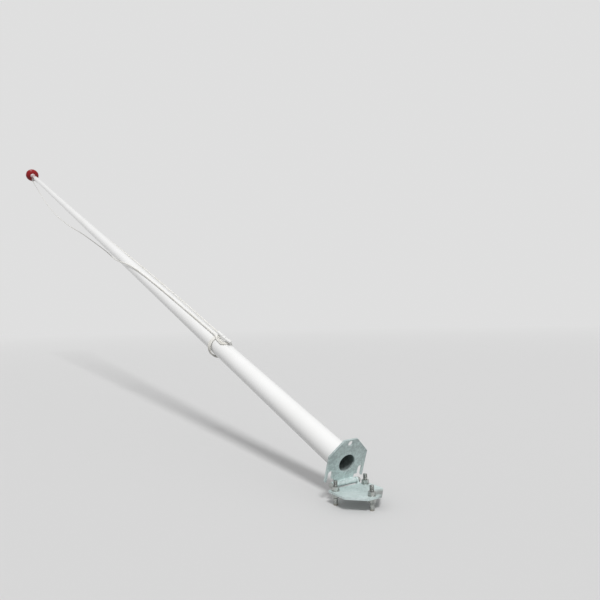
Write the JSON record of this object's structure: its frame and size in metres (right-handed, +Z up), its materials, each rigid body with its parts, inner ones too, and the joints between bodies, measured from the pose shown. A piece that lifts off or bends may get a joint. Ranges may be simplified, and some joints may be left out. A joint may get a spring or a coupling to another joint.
{
  "type": "tilting flagpole",
  "caption": "White tapered flagpole on a hinged steel bracket held by anchor studs, drawn partly tilted, with a red knob, a cleat and a loose halyard.",
  "frame": {"origin": "middle of the lower plate's underside, at the centre of the circle of anchor studs", "axes": "+Z up, +Y along the hinge, and the pole leans towards -X; stored at the tilt of the picture, 19.3 degrees above level"},
  "size_m": [8.8036, 0.196, 3.2345],
  "materials": {
    "galvanised_steel": "hot-dip galvanised, dull and mottled",
    "zinc_fasteners": "galvanised, a little darker, with dull threads",
    "white_fibreglass": "gloss white gel coat",
    "white_plastic": "satin white moulding",
    "cast_aluminium": "cast, lightly weathered",
    "red_plastic": "gloss red",
    "rope": "braided line, off-white"
  },
  "bodies": {
    "base": {"anchor_stud_1": "galvanised_steel", "levelling_nut_1": "zinc_fasteners", "lower_washer_1": "zinc_fasteners", "upper_washer_1": "zinc_fasteners", "seat_nut_1": "zinc_fasteners", "anchor_stud_2": "galvanised_steel", "levelling_nut_2": "zinc_fasteners", "lower_washer_2": "zinc_fasteners", "upper_washer_2": "zinc_fasteners", "seat_nut_2": "zinc_fasteners", "anchor_stud_3": "galvanised_steel", "levelling_nut_3": "zinc_fasteners", "lower_washer_3": "zinc_fasteners", "upper_washer_3": "zinc_fasteners", "seat_nut_3": "zinc_fasteners", "lower_plate": "galvanised_steel", "hinge_ear_left": "galvanised_steel", "hinge_ear_right": "galvanised_steel", "hinge_bolt": "zinc_fasteners", "hinge_nut": "zinc_fasteners"},
    "pole": {"hinge_tube": "galvanised_steel", "upper_plate": "galvanised_steel", "spigot": "galvanised_steel", "guide_ring_lower": "white_plastic", "guide_ring_upper": "white_plastic", "pole_shaft": "white_fibreglass", "truck": "cast_aluminium", "sheave": "white_plastic", "sheave_pin": "zinc_fasteners", "knob": "red_plastic", "cleat": "white_plastic", "cleat_screw_1": "zinc_fasteners", "cleat_screw_2": "zinc_fasteners", "pole_turns": "rope", "cleat_turns": "rope", "halyard_slack": "rope", "halyard_fall": "rope"}
  },
  "joints": [
    {"name": "tilt", "type": "hinge", "parent": "base", "child": "pole", "pos_m": [-0.077, 0, 0.016], "axis": [0, 1, 0], "range_deg": [-18, 70.7]}
  ]
}
